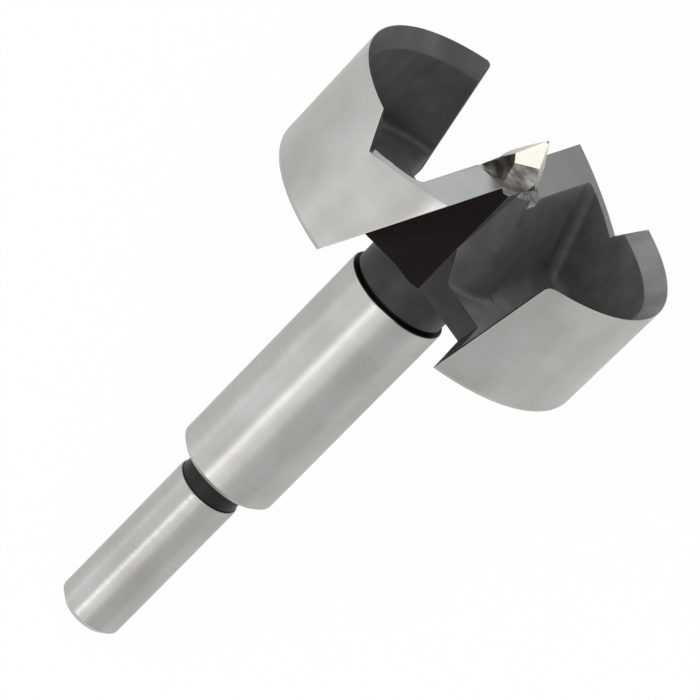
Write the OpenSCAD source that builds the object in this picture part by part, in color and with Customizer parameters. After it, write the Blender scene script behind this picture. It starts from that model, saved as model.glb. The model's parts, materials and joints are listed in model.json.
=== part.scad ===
// Forstner bit, one piece of steel: round shank, relief groove, body, neck and a cup-shaped
// head with two rim walls, two leaning chipper blades, two chip throats and a centre point.
// It is turned about +Z from the shank's end, then laid down as it comes to rest.

/* [Shank] */
// Diameter of the shank
shank_d = 9.5; // [7:0.1:12]
// Length of the shank, from its end to the relief groove
shank_len = 25.8; // [18:0.1:45]
// Chamfer around the end of the shank
shank_chamfer = 1; // [0.3:0.1:2]
// Diameter at the bottom of the relief groove
groove_d = 8.9; // [6:0.1:11.5]
// Width of the relief groove
groove_w = 3.5; // [2:0.1:6]

/* [Body] */
// Diameter of the body
body_d = 15; // [14.5:0.1:18]
// Length of the body
body_len = 34.6; // [20:0.1:60]
// Chamfer around the lower end of the body
body_chamfer = 0.7; // [0.2:0.1:1.2]
// Depth of the ring cut into the neck where the body ends
ring_depth = 0.6; // [0.2:0.1:1.5]
// Width of that ring
ring_w = 0.8; // [0.4:0.1:1.5]

/* [Neck] */
// Diameter of the neck
neck_d = 13.9; // [12:0.1:14.2]
// Length of the neck, from the body to the back of the head
neck_len = 5.5; // [3:0.1:12]

/* [Head] */
// Cutting diameter of the head
head_d = 50; // [46:0.5:56]
// Height of the rim walls, back to front
rim_h = 18; // [15:0.1:22]
// Thickness of the rim walls below their bevel
rim_wall = 1.8; // [1.2:0.1:2.6]
// Height of the ground bevel inside the rim's front edge
bevel_h = 2.5; // [1:0.1:4]
// How much slimmer the head is at its back, on the radius
back_taper = 0.2; // [0.05:0.05:0.6]
// Rounding of the head's back edge
back_round = 0.8; // [0.3:0.1:1.2]
// Thickness of the plate behind the pockets
plate_t = 3.4; // [2.4:0.1:6]
// How far the hub stands out of the blades' back faces at the plate
hub_proud = 0.2; // [0.1:0.1:0.8]

/* [Chipper blades] */
// Thickness of a chipper blade at the front
blade_t = 4.3; // [3.5:0.1:5.5]
// Distance from the axis to the line of the cutting edge
edge_lead = 1.25; // [0.8:0.05:1.8]
// How far the chipper edges stay behind the rim's front edge
edge_drop = 0.5; // [0.1:0.1:1]
// Lean of the cutting face from the axis
rake_angle = 25.5; // [20:0.5:30]
// Lean of the blade's back face from the axis
back_angle = 21; // [17:0.5:26]
// Slope of the ground land behind the edge
land_angle = 18; // [12:0.2:20]
// Distance from the edge to the foot of the step in the rim
step_run = 12.3; // [9:0.1:14]
// Lean of the step from the axis
step_angle = 31; // [15:1:40]

/* [Chip throats] */
// Distance from the axis to the throat's end wall, past the neck
throat_clear = 0.05; // [0.02:0.01:0.5]
// How far the end wall runs ahead of the cutting edge
corner_run = 1.2; // [0.6:0.1:1.8]
// Slant of the end wall beside the cutting face
end_slant = 10; // [5:1:15]
// Slant of the end wall on the other side
side_slant = 15; // [8:1:20]
// Distance from the axis to the rim's trailing wall, at the back
trail_gap = 9.4; // [8:0.1:11]
// Slant of the trailing wall across the head
trail_slant = 9.8; // [6:0.1:16]
// Lean of the trailing wall from the axis
trail_angle = 9.5; // [4:0.5:14]

/* [Centre point] */
// How far the point stands ahead of the rim
point_reach = 5.5; // [3:0.1:7]
// Height of the point above the hub's cone
tip_h = 6; // [4:0.1:7]
// Diameter at the foot of the point
tip_d = 6; // [4.4:0.1:6.6]
// Lean of the four ground facets from the axis
facet_angle = 27; // [20:1:30]
// Width of the edge that is left at the very tip
tip_edge = 0.2; // [0.1:0.05:0.4]
// Distance from the axis to the gash's wall beside the point
gash_in = 2.2; // [1.8:0.1:2.6]
// Slant of that wall across the head
gash_slant = 21; // [15:1:25]
// Lean of that wall from the axis
gash_angle = 8; // [4:1:14]
// Distance from the axis to the gash's far side, on the land
gash_out = 6.1; // [5:0.1:6.5]
// Direction of the far side, from across the blades
gash_turn = 71; // [60:1:80]
// Lean of the far side from the axis
gash_flare = 50; // [30:5:60]
// Depth of the gash below the land
gash_depth = 0.7; // [0.3:0.1:1]

/* [Hidden] */
$fn = 96;

shank_r = shank_d / 2;
head_r = head_d / 2;
back_r = head_r - back_taper;
cup_r = head_r - rim_wall;
heel_lead = blade_t - edge_lead;
corner_lead = edge_lead + corner_run;
steel = "#b9babb";

// Heights along the tool's axis, from the shank's end
body_z = shank_len + groove_w;
ring_z = body_z + body_len;
back_z = ring_z + neck_len;
floor_z = back_z + plate_t;
rim_z = back_z + rim_h;
edge_z = rim_z - edge_drop;
tip_z = rim_z + point_reach;
step_z = edge_z - step_run * tan(land_angle);
hub_r = heel_lead + (edge_z - floor_z) * tan(back_angle) + hub_proud;
beyond = 1;
reach = head_d + rim_h;
// Turn of each step in the rounding of the back edge
round_step = 45;

// Corner where the throat's two end walls meet, just ahead of the cutting edge
end_r = neck_d / 2 + throat_clear;
corner_y = (end_r - corner_lead * sin(end_slant)) / cos(end_slant);
side_r = corner_y * cos(side_slant) - corner_lead * sin(side_slant);

// The part rests on its shank and on the two back corners of one throat, where the rounding ends
rest_z = back_z + back_round;
rest_r = back_r + back_taper * back_round / rim_h;
lead_x = (edge_z - rest_z) * tan(rake_angle) - edge_lead;
lead_turn = acos(lead_x / rest_r);
trail_turn = trail_slant + acos(-(trail_gap + back_round * tan(trail_angle)) / rest_r);
throat_turn = (lead_turn + trail_turn) / 2;
throat_half = (trail_turn - lead_turn) / 2;
rest_tilt = atan((rest_r * cos(throat_half) - shank_r) / (rest_z - shank_chamfer));
lift = shank_r * cos(rest_tilt) - shank_chamfer * sin(rest_tilt);

// Ends of the part along the ground, before it is centred
edge_turn = acos(-edge_lead / head_r);
edge_high = head_r * cos(throat_turn - edge_turn);
front_x = max(tip_z * cos(rest_tilt), edge_z * cos(rest_tilt) + edge_high * sin(rest_tilt));
rear_x = -(shank_r - shank_chamfer) * sin(rest_tilt);

// All that lies beyond a plane: its direction and distance from the axis at height z, and its lean
module beyond_plane(turn, distance, lean, z) {
  rotate([0, 0, turn])
    translate([distance, 0, z])
      rotate([0, lean, 0])
        translate([0, -reach, -reach])
          cube(2 * reach);
}

// Both of a shape that the head has twice, half a turn apart
module twice() {
  children();
  rotate([0, 0, 180])
    children();
}

// Shank, relief groove, body, ring and neck, turned in one
module stem() {
  rotate_extrude()
    polygon([
      [0, 0],
      [shank_r - shank_chamfer, 0],
      [shank_r, shank_chamfer],
      [shank_r, shank_len],
      [groove_d / 2, shank_len],
      [groove_d / 2, body_z],
      [body_d / 2 - body_chamfer, body_z],
      [body_d / 2, body_z + body_chamfer],
      [body_d / 2, ring_z],
      [neck_d / 2 - ring_depth, ring_z],
      [neck_d / 2 - ring_depth, ring_z + ring_w / 2],
      [neck_d / 2, ring_z + ring_w],
      [neck_d / 2, back_z + plate_t / 2],
      [0, back_z + plate_t / 2]
    ]);
}

// The head before it is hollowed, with its rounded back edge turned in two steps
module blank() {
  rotate_extrude()
    polygon(concat(
      [[0, back_z]],
      [for (a = [0 : round_step : 90])
        [rest_r - back_round * (1 - sin(a)), rest_z - back_round * cos(a)]],
      [[head_r, rim_z], [0, rim_z]]
    ));
}

// Hub and centre point, ground to four facets level with the throat's end wall and across it
module hub() {
  difference() {
    rotate_extrude()
      polygon([
        [0, rest_z],
        [hub_r, rest_z],
        [hub_r, floor_z],
        [tip_d / 2, tip_z - tip_h],
        [tip_d / 2, tip_z + beyond],
        [0, tip_z + beyond]
      ]);
    twice() {
      beyond_plane(90 + end_slant, 0, -facet_angle, tip_z);
      beyond_plane(end_slant, tip_edge / 2, -facet_angle, tip_z);
    }
  }
}

// Inside of the cup, down to the plate, with the bevel behind the rim's edge
module cup() {
  rotate_extrude()
    polygon([
      [0, floor_z],
      [cup_r, floor_z],
      [cup_r, rim_z - bevel_h],
      [head_r, rim_z],
      [head_r, tip_z + beyond],
      [0, tip_z + beyond]
    ]);
}

// Pocket behind one blade, open towards the next throat
module pocket() {
  intersection() {
    cup();
    beyond_plane(0, heel_lead, -back_angle, edge_z);
  }
}

// Room above the plate in front of one cutting edge, around the hub
module clearing() {
  intersection() {
    cup();
    beyond_plane(180, corner_lead, 0, edge_z);
    beyond_plane(90, 0, 0, edge_z);
  }
}

// Chip throat in front of one cutting face, right through the head
module throat() {
  intersection() {
    translate([0, 0, back_z - beyond])
      cylinder(r = head_r + beyond, h = tip_z - back_z + beyond);
    beyond_plane(180, edge_lead, rake_angle, edge_z);
    beyond_plane(90 + end_slant, end_r, 0, edge_z);
    beyond_plane(90 - side_slant, side_r, 0, edge_z);
    beyond_plane(trail_slant, -trail_gap, -trail_angle, back_z);
  }
}

// All that lies above a plane that slopes with one land, at a depth below it
module above_land(depth) {
  translate([-edge_lead, 0, edge_z - depth])
    rotate([0, land_angle, 0])
      translate([-reach, -reach, 0])
        cube(2 * reach);
}

// What is ground off above one land, up to the step in the rim
module land_relief() {
  intersection() {
    above_land(0);
    beyond_plane(180, edge_lead - step_run, -step_angle, step_z);
    beyond_plane(90, 0, 0, edge_z);
  }
}

// Gash between the point and one land, sloping with the land
module gash() {
  intersection() {
    above_land(gash_depth);
    beyond_plane(90 + gash_slant, gash_in, -gash_angle, edge_z);
    beyond_plane(180 + gash_turn, -gash_out, -gash_flare, edge_z);
  }
}

// The whole tool upright, on its shank's end
module tool() {
  stem();
  difference() {
    union() {
      difference() {
        blank();
        twice() {
          pocket();
          land_relief();
          clearing();
        }
      }
      hub();
    }
    twice() {
      throat();
      gash();
    }
  }
}

module forstner_bit() {
  color(steel)
    translate([-(front_x + rear_x) / 2, 0, lift])
      rotate([0, -rest_tilt, 0])
        rotate([90, 0, 90])
          rotate([0, 0, 90 - throat_turn])
            tool();
}

forstner_bit();
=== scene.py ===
import json
import math
import bpy
import bmesh
from mathutils import Matrix, Vector


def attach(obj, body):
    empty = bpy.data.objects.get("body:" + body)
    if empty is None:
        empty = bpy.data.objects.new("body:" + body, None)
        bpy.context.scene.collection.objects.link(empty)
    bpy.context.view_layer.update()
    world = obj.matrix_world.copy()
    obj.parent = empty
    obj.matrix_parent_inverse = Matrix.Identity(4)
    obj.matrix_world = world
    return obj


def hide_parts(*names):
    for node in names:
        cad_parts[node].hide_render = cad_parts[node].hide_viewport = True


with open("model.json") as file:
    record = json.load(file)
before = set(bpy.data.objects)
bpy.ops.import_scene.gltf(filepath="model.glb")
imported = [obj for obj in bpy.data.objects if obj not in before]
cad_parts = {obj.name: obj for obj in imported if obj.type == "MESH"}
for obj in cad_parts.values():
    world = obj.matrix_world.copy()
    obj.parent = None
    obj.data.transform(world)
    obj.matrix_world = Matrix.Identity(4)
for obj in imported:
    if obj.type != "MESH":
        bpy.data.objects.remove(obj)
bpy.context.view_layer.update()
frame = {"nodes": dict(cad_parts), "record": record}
print("frame loaded:", ", ".join(frame["nodes"]))

# The tool is modelled upright on its shank's end, in millimetres, and laid down at the end.
# Finishes are face slots, in this order on every mesh.
finishes = [
    "groundSteel", "blackOxide", "grooveOxideShade", "pocketOxideLit", "throatShade",
    "bevelGrind", "landGrind", "pointGrindHighlight", "gashGrind", "wornEdge",
]
millimetre = 0.001
spunGap = 0.001  # closes the seam and the poles of a spun shape
sameWay = 0.99  # two normals this close face the same way


# Small helpers
def pick(obj):
    bpy.ops.object.select_all(action="DESELECT")
    obj.select_set(True)
    bpy.context.view_layer.objects.active = obj


def editAll(obj):
    pick(obj)
    bpy.ops.object.mode_set(mode="EDIT")
    bpy.ops.mesh.select_all(action="SELECT")


def leaveEdit():
    bpy.ops.object.mode_set(mode="OBJECT")


def arc(x, z, radius, start, end, steps=6):
    # points on a round corner of a turned outline
    turns = [math.radians(start + (end - start) * i / steps) for i in range(steps + 1)]
    return [(x + radius * math.cos(t), z + radius * math.sin(t)) for t in turns]


def finishFaces(obj, finish, test=None):
    if not obj.data.materials:
        for name in finishes:
            obj.data.materials.append(None)
    for face in obj.data.polygons:
        if test is None or test(face):
            face.material_index = finishes.index(finish)


def facing(normal):
    # a test for faces that point along a normal
    return lambda f: f.normal.dot(normal) > sameWay


def turnOutline(name, outline, steps):
    # an outline of (radius, height) points drawn by extruding, then spun about the axis
    bpy.ops.object.select_all(action="DESELECT")
    bpy.ops.mesh.primitive_plane_add(size=1)
    obj = bpy.context.active_object
    obj.name = name
    bpy.ops.object.mode_set(mode="EDIT")
    bpy.ops.mesh.merge(type="CENTER")
    places = [Vector((r, 0, z)) for r, z in outline]
    bpy.ops.transform.translate(value=places[0])
    for here, there in zip(places, places[1:]):
        bpy.ops.mesh.extrude_vertices_move(TRANSFORM_OT_translate={"value": there - here})
    bpy.ops.mesh.select_all(action="SELECT")
    bpy.ops.mesh.spin(steps=steps, angle=math.tau, center=(0, 0, 0), axis=(0, 0, 1))
    bpy.ops.mesh.select_all(action="SELECT")
    bpy.ops.mesh.remove_doubles(threshold=spunGap)
    bpy.ops.mesh.normals_make_consistent(inside=False)
    leaveEdit()
    return obj


def plane(turn, distance, lean, z):
    # a cutting plane: its direction and distance from the axis at height z, and its lean
    spin = Matrix.Rotation(math.radians(turn), 3, "Z")
    tip = math.radians(lean)
    return spin @ Vector((distance, 0, z)), spin @ Vector((math.cos(tip), 0, -math.sin(tip)))


def keepBeyond(obj, *planes):
    # slices the mesh at each plane and keeps what lies beyond
    editAll(obj)
    for place, normal in planes:
        bpy.ops.mesh.select_all(action="SELECT")
        bpy.ops.mesh.bisect(plane_co=place, plane_no=normal, use_fill=True, clear_inner=True)
    leaveEdit()


def block(name, size, middle, *planes):
    bpy.ops.object.select_all(action="DESELECT")
    bpy.ops.mesh.primitive_cube_add(size=size, location=middle)
    bpy.ops.object.transform_apply(location=True, rotation=False, scale=False)
    obj = bpy.context.active_object
    obj.name = name
    keepBeyond(obj, *planes)
    return obj


def halfTurn(obj):
    # the same shape on the other side of the axis
    other = obj.copy()
    other.data = obj.data.copy()
    bpy.context.collection.objects.link(other)
    other.data.transform(Matrix.Rotation(math.pi, 4, "Z"))
    return other


def carve(obj, tools, operation="DIFFERENCE"):
    for tool in tools:
        pick(obj)
        cut = obj.modifiers.new("carve", "BOOLEAN")
        cut.operation = operation
        cut.object = tool
        cut.solver = "EXACT"
        bpy.ops.object.modifier_apply(modifier=cut.name)
        bpy.data.objects.remove(tool)


# Stem: shank, relief groove, body, ring and neck
stem = {
    "shankR": 4.75, "shankLen": 25.8, "endChamfer": 1.0, "grooveR": 4.45, "grooveW": 3.5, "grooveRound": 0.3,
    "bodyR": 7.5, "bodyLen": 34.6, "bodyChamfer": 0.7, "edgeRound": 0.25, "roundSteps": 3,
    "ringDepth": 0.6, "ringW": 0.55, "neckR": 6.95, "neckLen": 5.5, "neckFillet": 0.6, "steps": 192,
    "border": 0.05,  # how far a dark finish reaches past the corner where it ends
}
bodyZ = stem["shankLen"] + stem["grooveW"]
ringZ = bodyZ + stem["bodyLen"]
backZ = ringZ + stem["neckLen"]

# Head: sizes across, heights and slopes
head = {
    "r": 24.97, "rimH": 18.0, "rimWall": 1.8, "rimLand": 0.08, "bevelH": 2.5, "steps": 240,
    "backTaper": 0.2, "backRound": 0.8, "backDark": 0.3, "plateT": 3.4,
    "hubProud": -0.05, "hubFoot": 1.0, "footTurn": -160, "hubSteps": 144,
    "bladeT": 4.3, "edgeLead": 1.25, "edgeDrop": 0.5, "rake": 25.5, "backLean": 21.0,
    "landLean": 18.0, "stepRun": 12.3, "stepLean": 31.0, "landBlock": 120,
    "throatClear": 0.05, "cornerRun": 1.2, "endSlant": 10.0, "sideSlant": 15.0,
    "throatBlock": 90, "throatBelow": 1,
    "trailGap": 9.4, "trailSlant": 9.8, "trailLean": 9.5,
    "trailRound": 1.1, "trailFlats": (0.2, 0.5, 0.8), "trailBlock": 8,
    "roomWidth": 13.0, "roomPast": 0.02, "roomBlock": 60,
}
floorZ = backZ + head["plateT"]
rimZ = backZ + head["rimH"]
edgeZ = rimZ - head["edgeDrop"]
lead = head["edgeLead"]
heel = head["bladeT"] - lead
cornerLead = lead + head["cornerRun"]
webSlope = math.tan(math.radians(head["backLean"]))
hubR = heel + (edgeZ - floorZ) * webSlope + head["hubProud"]

# Centre point and the gashes beside it
point = {
    "reach": 5.5, "height": 6.0, "footR": 3.0, "facetLean": 27.0, "facetRise": 0.2, "tipEdge": 0.2,
    "bare": 1.2, "spare": 1.0,
    "gashIn": 2.2, "gashSlant": 21.0, "gashLean": 8.0, "gashOut": 6.3, "gashTurn": 71.0, "gashFlare": 40.0,
    "gashDepth": 0.7, "gashBlock": 12, "gashMiddle": (0.5, 3.5, 0.5),
    "tailSlant": 25.0, "tailIn": 2.365, "tailLean": 5.0, "tailDeeper": 0.01,
}
tipZ = rimZ + point["reach"]


def makeStem():
    s = stem
    edgeRound, grooveRound, fillet, border = s["edgeRound"], s["grooveRound"], s["neckFillet"], s["border"]
    ringR = s["neckR"] - s["ringDepth"]
    plateMiddle = backZ + head["plateT"] / 2
    outline = [(0, 0), (s["shankR"] - s["endChamfer"], 0), (s["shankR"], s["endChamfer"])]
    steps = s["roundSteps"]
    outline += arc(s["shankR"] - grooveRound, s["shankLen"] - grooveRound, grooveRound, 0, 90, steps)
    outline += [(s["grooveR"], s["shankLen"]), (s["grooveR"], bodyZ)]
    outline += [(s["bodyR"] - s["bodyChamfer"], bodyZ), (s["bodyR"], bodyZ + s["bodyChamfer"])]
    outline += arc(s["bodyR"] - edgeRound, ringZ - edgeRound, edgeRound, 0, 90, steps)
    outline += [(ringR, ringZ), (ringR, ringZ + s["ringW"] / 2), (s["neckR"], ringZ + s["ringW"])]
    outline += arc(s["neckR"] + fillet, backZ - fillet, fillet, 180, 90)
    outline += [(s["neckR"] + fillet, plateMiddle), (0, plateMiddle)]
    obj = turnOutline("stem", outline, s["steps"])
    finishFaces(obj, "groundSteel")
    # the relief groove and the ring are black oxide, with painted shade making them darker
    finishFaces(obj, "grooveOxideShade", lambda f: s["shankLen"] - border < f.center.z < bodyZ + border)
    finishFaces(obj, "blackOxide", lambda f: f.center.z > ringZ - border)
    finishFaces(obj, "grooveOxideShade", lambda f: ringZ - border < f.center.z < ringZ + s["ringW"])
    return obj


def cupRadius(z):
    # inside of the rim, with the ground bevel up to a hair of flat at the edge
    inner, outer = head["r"] - head["rimWall"], head["r"] - head["rimLand"]
    share = min(max((z - rimZ + head["bevelH"]) / head["bevelH"], 0), 1)
    return inner + (outer - inner) * share


pocket = {
    "fillet": 1.3, "filletSteps": 6, "leastCorner": 0.05, "lineSteps": 4, "rimSteps": 90,
    "walls": 8, "bevelSteps": 3, "bevelRise": 0.2, "above": 2,
}


def pocketRing(z):
    # level cut through a pocket: a straight blade back and the round rim, with filleted corners
    r = pocket["fillet"]
    down = max(r - (z - floorZ), 0)
    inset = r - math.sqrt(r * r - down * down)
    x = heel + (edgeZ - z) * webSlope + inset / math.cos(math.radians(head["backLean"]))
    rim = cupRadius(z) - inset
    corner = max(r - inset, pocket["leastCorner"])
    y = math.sqrt((rim - corner) ** 2 - (x + corner) ** 2)
    meet = math.atan2(y, x + corner)
    line = [(x, -y + 2 * y * i / pocket["lineSteps"]) for i in range(pocket["lineSteps"])]
    steps = pocket["filletSteps"]
    turns = [math.pi + (meet - math.pi) * i / steps for i in range(steps)]
    upper = [(x + corner + corner * math.cos(t), y + corner * math.sin(t)) for t in turns]
    turns = [meet - 2 * meet * i / pocket["rimSteps"] for i in range(pocket["rimSteps"])]
    curve = [(rim * math.cos(t), rim * math.sin(t)) for t in turns]
    turns = [-meet + (meet - math.pi) * i / steps for i in range(steps)]
    lower = [(x + corner + corner * math.cos(t), -y + corner * math.sin(t)) for t in turns]
    return [Vector((px, py, z)) for px, py in line + upper + curve + lower]


def makePocket():
    r, steps = pocket["fillet"], pocket["filletSteps"]
    heights = [floorZ + r - r * math.cos(math.pi / 2 * i / steps) for i in range(steps + 1)]
    bevelFoot = rimZ - head["bevelH"]
    wallFoot, walls, bevelSteps = heights[-1], pocket["walls"], pocket["bevelSteps"]
    heights += [wallFoot + (bevelFoot - wallFoot) * i / walls for i in range(1, walls + 1)]
    heights += [bevelFoot + head["bevelH"] * i / bevelSteps for i in range(1, bevelSteps + 1)]
    heights += [rimZ + pocket["above"]]
    rings = [pocketRing(z) for z in heights]
    count = len(rings[0])
    mesh = bpy.data.meshes.new("pocket")
    faces = [tuple(reversed(range(count)))]
    for k in range(len(rings) - 1):
        for i in range(count):
            j = (i + 1) % count
            faces.append((k * count + i, k * count + j, (k + 1) * count + j, (k + 1) * count + i))
    faces.append(tuple((len(rings) - 1) * count + i for i in range(count)))
    mesh.from_pydata([p for ring in rings for p in ring], [], faces)
    obj = bpy.data.objects.new("pocket", mesh)
    bpy.context.collection.objects.link(obj)
    editAll(obj)
    bpy.ops.mesh.normals_make_consistent(inside=False)
    leaveEdit()
    wall = head["r"] - head["rimWall"]

    def onBevel(face):
        high, outer = face.center.z > bevelFoot, face.center.xy.length > wall
        return high and outer and abs(face.normal.z) > pocket["bevelRise"]

    # the pocket's walls take the lighter oxide with its painted light
    finishFaces(obj, "pocketOxideLit")
    finishFaces(obj, "bevelGrind", onBevel)
    return obj


def makeBlank():
    # the head before it is hollowed
    b = head["backRound"]
    backR = head["r"] - head["backTaper"]
    sideR = backR + head["backTaper"] * b / head["rimH"]
    outline = [(0, backZ)] + arc(sideR - b, backZ + b, b, -90, 0) + [(head["r"], rimZ), (0, rimZ)]
    obj = turnOutline("blank", outline, head["steps"])
    finishFaces(obj, "groundSteel")
    finishFaces(obj, "blackOxide", lambda f: f.center.z < backZ + head["backDark"] * b)
    return obj


def makeHub():
    # cone that carries the point, with a round foot on the plate and four ground facets on top
    foot, footZ = head["hubFoot"], backZ + head["backRound"]
    outline = [(0, footZ), (hubR + foot, footZ), (hubR + foot, floorZ)]
    outline += arc(hubR + foot, floorZ + foot, foot, -90, head["footTurn"])
    before = tipZ - point["height"]
    bareZ = before - point["bare"]
    coneR, coneZ = outline[-1]
    share = (bareZ - coneZ) / (before - coneZ)
    outline += [(coneR + (point["footR"] - coneR) * share, bareZ), (point["footR"], before)]
    outline += [(point["footR"], tipZ + point["spare"]), (0, tipZ + point["spare"])]
    obj = turnOutline("hub", outline, head["hubSteps"])
    # half a step of turn, so that no facet's edge lies on the clearing's wall
    obj.data.transform(Matrix.Rotation(math.pi / head["hubSteps"], 4, "Z"))
    finishFaces(obj, "pocketOxideLit")
    finishFaces(obj, "gashGrind", lambda f: f.center.z > bareZ)
    for turn in (0, 180):
        slant = head["endSlant"] + turn
        for place, normal in (plane(90 + slant, 0, -point["facetLean"], tipZ),
                              plane(slant, point["tipEdge"] / 2, -point["facetLean"], tipZ)):
            keepBeyond(obj, (place, -normal))

    def onPoint(face):
        lowest = before if face.normal.z > point["facetRise"] else before + point["height"] / 2
        return face.center.z > lowest

    finishFaces(obj, "pointGrindHighlight", onPoint)
    return obj


def landPlane(depth):
    tip = math.radians(head["landLean"])
    return Vector((-lead, 0, edgeZ - depth)), Vector((math.sin(tip), 0, math.cos(tip)))


def makeLandRelief():
    stepZ = edgeZ - head["stepRun"] * math.tan(math.radians(head["landLean"]))
    step = plane(180, lead - head["stepRun"], -head["stepLean"], stepZ)
    obj = block("landRelief", head["landBlock"], (0, 0, edgeZ), landPlane(0), step, plane(90, 0, 0, edgeZ))
    finishFaces(obj, "landGrind")
    finishFaces(obj, "blackOxide", facing(-step[1]))
    return obj


def makeClearing():
    # room above the plate in front of a cutting edge, around the hub, a hair past the land's end
    width = head["roomWidth"]
    obj = block(
        "clearing", head["roomBlock"], (0, 0, edgeZ), (Vector((0, 0, floorZ)), Vector((0, 0, 1))),
        plane(180, cornerLead, 0, edgeZ), plane(90, -head["roomPast"], 0, edgeZ),
        plane(0, -width, 0, edgeZ), plane(270, -width, 0, edgeZ),
    )
    finishFaces(obj, "pocketOxideLit")
    return obj


def makeThroat():
    endR = stem["neckR"] + head["throatClear"]
    endTurn, sideTurn = math.radians(head["endSlant"]), math.radians(head["sideSlant"])
    cornerY = (endR - cornerLead * math.sin(endTurn)) / math.cos(endTurn)
    sideR = cornerY * math.cos(sideTurn) - cornerLead * math.sin(sideTurn)
    endWall = plane(90 + head["endSlant"], endR, 0, edgeZ)
    obj = block(
        "throat", head["throatBlock"], (0, 0, backZ - head["throatBelow"] + head["throatBlock"] / 2),
        plane(180, lead, head["rake"], edgeZ), endWall,
        plane(90 - head["sideSlant"], sideR, 0, edgeZ),
        plane(head["trailSlant"], -head["trailGap"], -head["trailLean"], backZ),
    )
    finishFaces(obj, "blackOxide")
    # the end wall under the overhanging blade takes the painted shade
    finishFaces(obj, "throatShade", facing(-endWall[1]))
    return obj


def makeGash(depth, wall):
    far = plane(180 + point["gashTurn"], -point["gashOut"], -point["gashFlare"], edgeZ)
    x, y, z = point["gashMiddle"]
    obj = block("gash", point["gashBlock"], (x, y, edgeZ + z), landPlane(depth), wall, far)
    finishFaces(obj, "gashGrind")
    return obj


def makeGashes():
    # the gash's wall beside the point, and a second flat where it runs out over the blade's heel
    wall = plane(90 + point["gashSlant"], point["gashIn"], -point["gashLean"], edgeZ)
    tail = plane(90 - point["tailSlant"], point["tailIn"], point["tailLean"], edgeZ)
    depth = point["gashDepth"]
    return [makeGash(depth, wall), makeGash(depth + point["tailDeeper"], tail)]


def makeCorners():
    # three flats that round off the front corner of a rim's trailing end
    turn, r = head["trailSlant"], head["trailRound"]
    wall = plane(turn, -head["trailGap"], -head["trailLean"], backZ)[1]
    front = Vector((0, 0, 1))
    spin = Matrix.Rotation(math.radians(turn), 3, "Z")
    back = -head["trailGap"] - head["rimH"] * math.tan(math.radians(head["trailLean"]))
    corner = spin @ Vector((back, math.sqrt(head["r"] ** 2 - back ** 2), rimZ))
    inset = r / (1 + wall.dot(front))
    middle = corner - (wall + front) * inset
    made = []
    for share in head["trailFlats"]:
        out = wall.slerp(front, share)
        made.append(block("corner", head["trailBlock"], corner, (middle + out * r, out)))
        finishFaces(made[-1], "blackOxide")
    return made


def both(obj):
    return [obj, halfTurn(obj)]


bit = makeBlank()
bit.name = "forstnerBit"
carve(bit, both(makePocket()) + both(makeLandRelief()) + both(makeClearing()))
carve(bit, [makeHub(), makeStem()], "UNION")
carve(bit, both(makeThroat()))
for cut in makeGashes() + makeCorners():
    carve(bit, both(cut))
print("head carved:", len(bit.data.polygons), "faces")

# Broken edges and smooth shading
edges = {
    "width": 0.12, "segments": 2, "sharp": 28.0, "smooth": 40.0, "weld": 0.004, "flat": 0.3,
    "tiny": 0.3, "short": 1.0, "rimGap": 0.01, "sweeps": 3,
    "crisp": {"landGrind", "pointGrindHighlight", "gashGrind"},
    "level": {"landGrind", "pointGrindHighlight", "gashGrind", "throatShade"},
    "order": ["groundSteel", "landGrind", "pointGrindHighlight", "bevelGrind", "gashGrind", "throatShade",
              "pocketOxideLit", "grooveOxideShade", "blackOxide"],
}


def takesRound(edge):
    # outer edges, but not the rim's front edge, the point's and gash's edges or those of tiny faces
    if len(edge.link_faces) != 2 or not edge.is_convex:
        return False
    middle = (edge.verts[0].co + edge.verts[1].co) / 2
    if middle.z > rimZ - edges["rimGap"] and middle.xy.length > head["r"] / 2:
        return False
    if {finishes[f.material_index] for f in edge.link_faces} <= edges["crisp"]:
        return False
    if min(f.calc_area() for f in edge.link_faces) < edges["tiny"] and edge.calc_length() < edges["short"]:
        return False
    return edge.calc_face_angle() > math.radians(edges["sharp"])


def breakEdges(obj):
    # cleans the cut mesh, then breaks its outer edges with a narrow round
    editAll(obj)
    bpy.ops.mesh.remove_doubles(threshold=edges["weld"])
    bpy.ops.mesh.dissolve_limited(angle_limit=math.radians(edges["flat"]), delimit={"MATERIAL"})
    leaveEdit()
    shape = bmesh.new()
    shape.from_mesh(obj.data)
    weight = shape.edges.layers.float.new("bevel_weight_edge")
    for edge in shape.edges:
        if takesRound(edge):
            edge[weight] = 1
    shape.to_mesh(obj.data)
    shape.free()
    pick(obj)
    rounding = obj.modifiers.new("edges", "BEVEL")
    rounding.limit_method = "WEIGHT"
    rounding.width = edges["width"]
    rounding.segments = edges["segments"]
    rounding.use_clamp_overlap = False
    rounding.material = finishes.index("wornEdge")
    bpy.ops.object.modifier_apply(modifier=rounding.name)


def settleEdges(obj):
    # a broken edge takes the finish beside it, and stays bright where it meets the ground outside
    worn = finishes.index("wornEdge")
    shape = bmesh.new()
    shape.from_mesh(obj.data)
    for sweep in range(edges["sweeps"]):
        settled = {}
        for face in shape.faces:
            if face.material_index == worn:
                around = [f.material_index for e in face.edges for f in e.link_faces]
                beside = [finishes[index] for index in around if index != worn]
                if beside and "groundSteel" not in beside:
                    settled[face] = finishes.index(max(beside, key=edges["order"].index))
        for face, index in settled.items():
            face.material_index = index
    shape.to_mesh(obj.data)
    shape.free()


def splitFlats(obj):
    # flat and many-sided faces are cut into well-shaped triangles, because slivers shade unevenly
    editAll(obj)
    bpy.ops.mesh.select_mode(type="FACE")
    bpy.ops.mesh.select_all(action="DESELECT")
    leaveEdit()
    for face in obj.data.polygons:
        face.select = len(face.vertices) > 4 or finishes[face.material_index] in edges["level"]
    bpy.ops.object.mode_set(mode="EDIT")
    bpy.ops.mesh.quads_convert_to_tris(quad_method="BEAUTY", ngon_method="BEAUTY")
    bpy.ops.mesh.select_all(action="SELECT")
    bpy.ops.mesh.dissolve_degenerate(threshold=edges["weld"])
    leaveEdit()


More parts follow.
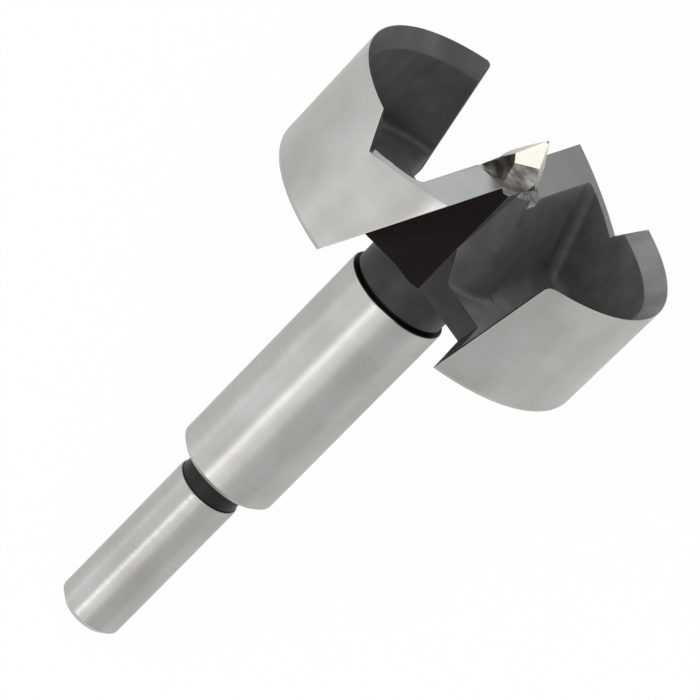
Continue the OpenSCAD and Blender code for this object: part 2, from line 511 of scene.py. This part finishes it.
def smoothFaces(obj):
    pick(obj)
    bpy.ops.object.shade_smooth_by_angle(angle=math.radians(edges["smooth"]))
    for face in obj.data.polygons:
        if finishes[face.material_index] in edges["level"]:
            face.use_smooth = False
    weighted = obj.modifiers.new("normals", "WEIGHTED_NORMAL")
    weighted.keep_sharp = True
    bpy.ops.object.modifier_apply(modifier=weighted.name)


breakEdges(bit)
settleEdges(bit)
splitFlats(bit)
smoothFaces(bit)
print("edges broken:", len(bit.data.polygons), "faces")

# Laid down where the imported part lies: the shank mount gives the axis, the throats stand upright
shankMount = next(m for m in frame["record"]["mounts"] if m["name"] == "shank")
along = -Vector(shankMount["axis"]).normalized()
across = Vector((0, 1, 0))
up = along.cross(across)
midShank = stem["endChamfer"] + shankMount["dims"]["length_mm"] / 2
origin = Vector(shankMount["pos_m"]) - along * midShank * millimetre


def throatTurn():
    # direction of the middle of a throat's back end
    restZ = backZ + head["backRound"]
    restR = head["r"] - head["backTaper"] * (1 - head["backRound"] / head["rimH"])
    leadX = (edgeZ - restZ) * math.tan(math.radians(head["rake"])) - lead
    trail = head["trailGap"] + head["backRound"] * math.tan(math.radians(head["trailLean"]))
    leadTurn = math.acos(leadX / restR)
    trailTurn = math.radians(head["trailSlant"]) + math.acos(-trail / restR)
    return (leadTurn + trailTurn) / 2


laid = Matrix((across, up, along)).transposed().to_4x4()
laid.translation = origin
laid = laid @ Matrix.Scale(millimetre, 4) @ Matrix.Rotation(math.pi / 2 - throatTurn(), 4, "Z")
bit.data.transform(laid)
bit.data.update()
print("laid down, shank's end at", [round(v, 5) for v in origin])


# Shader maths: a wrapped socket takes part in Python expressions
class Wire:
    def __init__(self, tree, socket=None):
        self.tree = tree
        self.socket = socket

    def node(self, kind, settings=None, inputs=None, output=0):
        made = self.tree.nodes.new(kind)
        for key, value in (settings or {}).items():
            setattr(made, key, value)
        for key, value in (inputs or {}).items():
            if isinstance(value, Wire):
                self.tree.links.new(value.socket, made.inputs[key])
            else:
                made.inputs[key].default_value = value
        return Wire(self.tree, made.outputs[output] if made.outputs else None)

    def math(self, operation, first, second):
        return self.node("ShaderNodeMath", {"operation": operation}, {0: first, 1: second})

    def __add__(self, other):
        return self.math("ADD", self, other)

    def __radd__(self, other):
        return self.math("ADD", other, self)

    def __sub__(self, other):
        return self.math("SUBTRACT", self, other)

    def __rsub__(self, other):
        return self.math("SUBTRACT", other, self)

    def __mul__(self, other):
        return self.math("MULTIPLY", self, other)

    def __rmul__(self, other):
        return self.math("MULTIPLY", other, self)


def grey(level, tint=(1, 1, 1)):
    # a colour written as an sRGB grey of 0 to 255, with a tint
    linear = ((level / 255 + 0.055) / 1.055) ** 2.4
    return (linear * tint[0], linear * tint[1], linear * tint[2], 1)


def newMaterial(name):
    material = bpy.data.materials.new(name)
    material.use_nodes = True
    tree = material.node_tree
    for node in list(tree.nodes):
        tree.nodes.remove(node)
    return material, Wire(tree)


def toolPlace(start):
    # millimetres in the upright tool's own frame
    place, turn, scale = laid.inverted().decompose()
    coords = start.node("ShaderNodeTexCoord", output="Object")
    return start.node("ShaderNodeMapping", {"vector_type": "POINT"},
                      {"Vector": coords, "Location": place, "Rotation": turn.to_euler(), "Scale": scale})


def noise(start, vector, scale, detail, stretch=(1, 1, 1)):
    spread = start.node("ShaderNodeVectorMath", {"operation": "MULTIPLY"}, {0: vector, 1: stretch})
    return start.node("ShaderNodeTexNoise", {"noise_dimensions": "3D"},
                      {"Vector": spread, "Scale": scale, "Detail": detail}, "Fac")


def mixColour(start, share, first, second):
    return start.node("ShaderNodeMix", {"data_type": "RGBA", "blend_type": "MIX"},
                      {"Factor": share, 6: first, 7: second}, 2)


def ramp(start, value, low, high):
    # 0 below low, 1 above high
    return start.node("ShaderNodeMapRange", {"clamp": True},
                      {"Value": value, "From Min": low, "From Max": high})


def paintedSideLight(start, place, colour, look):
    # painted light: one side of the head painted in a different tone from the other, along one of the tool's
    # own axes, standing for how the light falls there
    way = start.node("ShaderNodeSeparateXYZ", {}, {0: place}, look["sideLightAxis"])
    side = ramp(start, way, *look["sideLightRun"])
    tint = mixColour(start, side, *look["sideLightTints"])
    return start.node("ShaderNodeMix", {"data_type": "RGBA", "blend_type": "MULTIPLY"},
                      {"Factor": 1, 6: colour, 7: tint}, 2)


def steel(name, look):
    # ground metal: fine lines, a slow drift of tone, a darker core and painted side light, one side of the
    # head in a different tone from the other
    material, start = newMaterial(name)
    place = toolPlace(start)
    lines = noise(start, place, look["lineScale"], look["lineDetail"], look["lineStretch"])
    drift = noise(start, place, look["driftScale"], look["driftDetail"], look["driftStretch"])
    tone = ramp(start, drift, *look["driftRun"])
    colour = mixColour(start, tone, look["dark"], look["light"])
    fine = ramp(start, lines, *look["lineRun"])
    colour = mixColour(start, fine * look["lineShade"], colour, look["line"])
    x, y = [start.node("ShaderNodeSeparateXYZ", {}, {0: place}, axis) for axis in "XY"]
    outside = ramp(start, x * x + y * y, look["coreR"] ** 2, (look["coreR"] + look["coreEdge"]) ** 2)
    colour = paintedSideLight(start, place, mixColour(start, outside, look["core"], colour), look)
    rough = look["rough"] + (lines - 0.5) * look["roughSpread"]
    bump = start.node("ShaderNodeBump", {}, {
        "Strength": look["bump"], "Distance": look["bumpHeight"], "Height": lines}, "Normal")
    shader = start.node("ShaderNodeBsdfPrincipled", {}, {
        "Base Color": colour, "Roughness": rough, "Metallic": look["metal"], "Normal": bump})
    start.node("ShaderNodeOutputMaterial", {}, {"Surface": shader})
    return material


groundLook = {
    "dark": grey(183, (1.0, 0.99, 0.94)), "light": grey(196, (0.985, 1.0, 0.96)), "line": grey(160),
    "lineScale": 1.0, "lineDetail": 3.0, "lineStretch": (0.12, 0.12, 5.0), "lineRun": (0.3, 0.7),
    "lineShade": 0.18,
    "driftScale": 0.16, "driftDetail": 2.0, "driftStretch": (1, 1, 0.7), "driftRun": (0.35, 0.65),
    "rough": 0.3, "roughSpread": 0.1, "bump": 0.12, "bumpHeight": 0.00002, "metal": 1.0,
    "sideLightTints": ((1, 1, 1, 1), (1, 1, 1, 1)), "sideLightAxis": "X", "sideLightRun": (-3, 3),
    "coreR": 0.0, "coreEdge": 0.2, "core": (0, 0, 0, 1),
}
# painted shade: the rim's inner bevel on the head's +X side is painted at 0.46 of its colour, standing for
# the light falling differently there
bevelLook = dict(groundLook, dark=grey(134), light=grey(156), line=grey(124), lineShade=0.1,
                 bump=0.05, rough=0.4, sideLightTints=((1, 1, 1, 1), (0.46, 0.46, 0.46, 1)))
# painted highlight: the point's facets are the same ground steel as the lands, with their own fine lines, but
# painted near-white with a cream tint to stand for their bright reflection of the light
pointHighlightLook = dict(groundLook, dark=grey(232, (1.0, 0.99, 0.9)), light=grey(244, (1.0, 0.99, 0.91)),
                 line=grey(225), lineStretch=(3.0, 0.15, 0.4), lineShade=0.05, bump=0.0, rough=0.26)
# painted light: the land on the head's -Y side is painted darker (0.54) and the one on the +Y side a little
# lighter (1.04), standing for how the light falls on each
landLook = dict(pointHighlightLook, dark=grey(182, (0.97, 1.0, 1.0)), light=grey(190, (0.98, 1.0, 1.01)),
                line=grey(172), sideLightTints=((0.54, 0.54, 0.54, 1), (1.04, 1.04, 1.04, 1)), sideLightAxis="Y",
                coreR=4.2, core=grey(80, (1.06, 1.0, 0.93)))
gashLook = dict(groundLook, dark=grey(122, (1.06, 1.0, 0.93)), light=grey(205, (1.05, 1.0, 0.95)),
                line=grey(100), lineStretch=(0.3, 3.0, 3.0), lineShade=0.4,
                driftScale=0.5, driftStretch=(0.3, 1.7, 1.7), rough=0.4)
edgeLook = dict(groundLook, dark=grey(185), light=grey(215), line=grey(170), rough=0.3, bump=0.0)


def oxide(name, look):
    # black oxide: dark semi-gloss with a faint mottle and painted side light, one side of the head in a
    # different tone from the other
    material, start = newMaterial(name)
    place = toolPlace(start)
    mottle = ramp(start, noise(start, place, look["mottleScale"], look["mottleDetail"]), *look["mottleRun"])
    grain = noise(start, place, look["grainScale"], look["grainDetail"])
    colour = paintedSideLight(start, place, mixColour(start, mottle, look["dark"], look["light"]), look)
    rough = look["rough"] + (grain - 0.5) * look["roughSpread"]
    bump = start.node("ShaderNodeBump", {}, {
        "Strength": look["bump"], "Distance": look["bumpHeight"], "Height": grain}, "Normal")
    shader = start.node("ShaderNodeBsdfPrincipled", {}, {
        "Base Color": colour, "Roughness": rough, "Metallic": look["metal"], "Normal": bump,
        "Specular IOR Level": look["shine"]})
    start.node("ShaderNodeOutputMaterial", {}, {"Surface": shader})
    return material


oxideLook = {
    "dark": grey(48, (1.0, 0.99, 0.98)), "light": grey(60, (0.97, 1.0, 1.0)),
    "mottleScale": 0.3, "mottleDetail": 4.0, "mottleRun": (0.35, 0.68), "grainScale": 3.5, "grainDetail": 2.0,
    "sideLightTints": ((1, 1, 1, 1), (1, 1, 1, 1)), "sideLightAxis": "X", "sideLightRun": (-19, -3),
    "rough": 0.45, "roughSpread": 0.12, "bump": 0.2, "bumpHeight": 0.00003, "metal": 0.4, "shine": 0.5,
}
# black oxide in the relief groove and the ring, painted darker than the oxide elsewhere as painted shade in
# these narrow recesses
grooveOxideShadeLook = dict(oxideLook, dark=grey(26), light=grey(33), rough=0.4, metal=0.2, shine=0.3)
# painted light: the same black oxide as the neck, painted lighter to stand for light reaching into the
# pockets, throats and round the hub, and 1.6 times lighter again towards the head's -X side
pocketLitLook = dict(oxideLook, dark=grey(86, (1.0, 0.99, 0.98)), light=grey(102, (0.97, 1.0, 1.0)), metal=0.2,
                  sideLightTints=((1.6, 1.6, 1.6, 1), (1, 1, 1, 1)))
# painted shade: the throat's end wall under the overhanging blade is the same black oxide, painted near-black
# with a reddish tint
throatShadeLook = dict(oxideLook, dark=grey(24, (1.25, 0.9, 0.9)), light=grey(31, (1.2, 0.92, 0.9)), rough=0.55,
                  shine=0.1)
materials = {
    "groundSteel": steel("groundSteel", groundLook), "blackOxide": oxide("blackOxide", oxideLook),
    "grooveOxideShade": oxide("grooveOxideShade", grooveOxideShadeLook), "pocketOxideLit": oxide("pocketOxideLit", pocketLitLook),
    "throatShade": oxide("throatShade", throatShadeLook), "bevelGrind": steel("bevelGrind", bevelLook),
    "landGrind": steel("landGrind", landLook), "pointGrindHighlight": steel("pointGrindHighlight", pointHighlightLook),
    "gashGrind": steel("gashGrind", gashLook), "wornEdge": steel("wornEdge", edgeLook),
}
for index, name in enumerate(finishes):
    bit.data.materials[index] = materials[name]
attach(bit, "root")
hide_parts("forstner_bit")
print("finishes set:", ", ".join(finishes))

# Floor, light and camera
studio = {"floorSize": 6.0, "floorColour": grey(245), "floorGlow": 0.97, "floorSheen": 0.2, "world": 0.7}
lamps = {
    "key": {"place": (-0.2, 1.2, 0.65), "size": (1.5, 1.1), "power": 1.85, "tint": (1, 1, 1)},
    "low": {"place": (-0.35, 0.95, 0.12), "size": (0.7, 0.25), "power": 0.18, "tint": (1, 1, 1)},
    "side": {"place": (-0.62, 0.62, 0.66), "size": (0.35, 0.6), "power": 0.13, "tint": (1, 1, 1)},
    "strip": {"place": (-0.65, 0.25, 0.82), "size": (0.08, 0.7), "power": 0.68, "tint": (1, 1, 1)},
    "rear": {"place": (-0.67, -0.06, 0.87), "size": (0.55, 0.5), "power": 0.46, "tint": (1, 0.93, 0.85)},
    "front": {"place": (0.16, -0.05, 1.35), "size": (1.1, 1.1), "power": 2.1, "tint": (1, 0.98, 0.93)},
}


def makeFloor():
    bpy.ops.object.select_all(action="DESELECT")
    bpy.ops.mesh.primitive_plane_add(size=studio["floorSize"])
    floor = bpy.context.active_object
    floor.name = "floor"
    material, start = newMaterial("paleFloor")
    seen = start.node("ShaderNodeLightPath", output="Is Camera Ray")
    mirrored = start.node("ShaderNodeLightPath", output="Is Glossy Ray")
    plain = start.node("ShaderNodeBsdfDiffuse", {}, {"Color": studio["floorColour"]})
    glow = start.node("ShaderNodeEmission", {}, {"Color": (1, 1, 1, 1), "Strength": 1.0})
    mixed = start.node("ShaderNodeMixShader", {}, {
        0: seen * studio["floorGlow"] + mirrored * studio["floorSheen"], 1: plain, 2: glow})
    start.node("ShaderNodeOutputMaterial", {}, {"Surface": mixed})
    floor.data.materials.append(material)


def softbox(name, lamp):
    bpy.ops.object.light_add(type="AREA", location=lamp["place"])
    made = bpy.context.active_object
    made.name = name
    made.data.energy = lamp["power"]
    made.data.color = lamp["tint"]
    made.data.shape = "RECTANGLE"
    made.data.size, made.data.size_y = lamp["size"]
    made.rotation_euler = (-Vector(lamp["place"])).to_track_quat("-Z", "Y").to_euler()


def makeWorld():
    world = bpy.data.worlds.new("studio")
    world.use_nodes = True
    tree = world.node_tree
    for node in list(tree.nodes):
        tree.nodes.remove(node)
    start = Wire(tree)
    seen = start.node("ShaderNodeLightPath", output="Is Camera Ray")
    glow = start.node("ShaderNodeBackground", {}, {
        "Color": (1, 1, 1, 1), "Strength": studio["world"] + seen * (1 - studio["world"])})
    start.node("ShaderNodeOutputWorld", {}, {"Surface": glow})
    bpy.context.scene.world = world


view = {
    "place": (0.09548, -0.01515, 0.58893), "turn": (-5.201, 7.229, -45.260),
    "focal": 4500 / 700,  # in widths of the picture
    "sensor": 36, "near": 0.01,
}


def makeCamera():
    data = bpy.data.cameras.new("camera")
    data.sensor_width = view["sensor"]
    data.lens = view["focal"] * view["sensor"]
    data.clip_start = view["near"]
    camera = bpy.data.objects.new("camera", data)
    bpy.context.scene.collection.objects.link(camera)
    camera.location = view["place"]
    camera.rotation_euler = [math.radians(a) for a in view["turn"]]
    bpy.context.scene.camera = camera


makeFloor()
makeWorld()
for name, lamp in lamps.items():
    softbox(name, lamp)
makeCamera()
bpy.context.scene.view_settings.view_transform = "Standard"
print("studio ready")
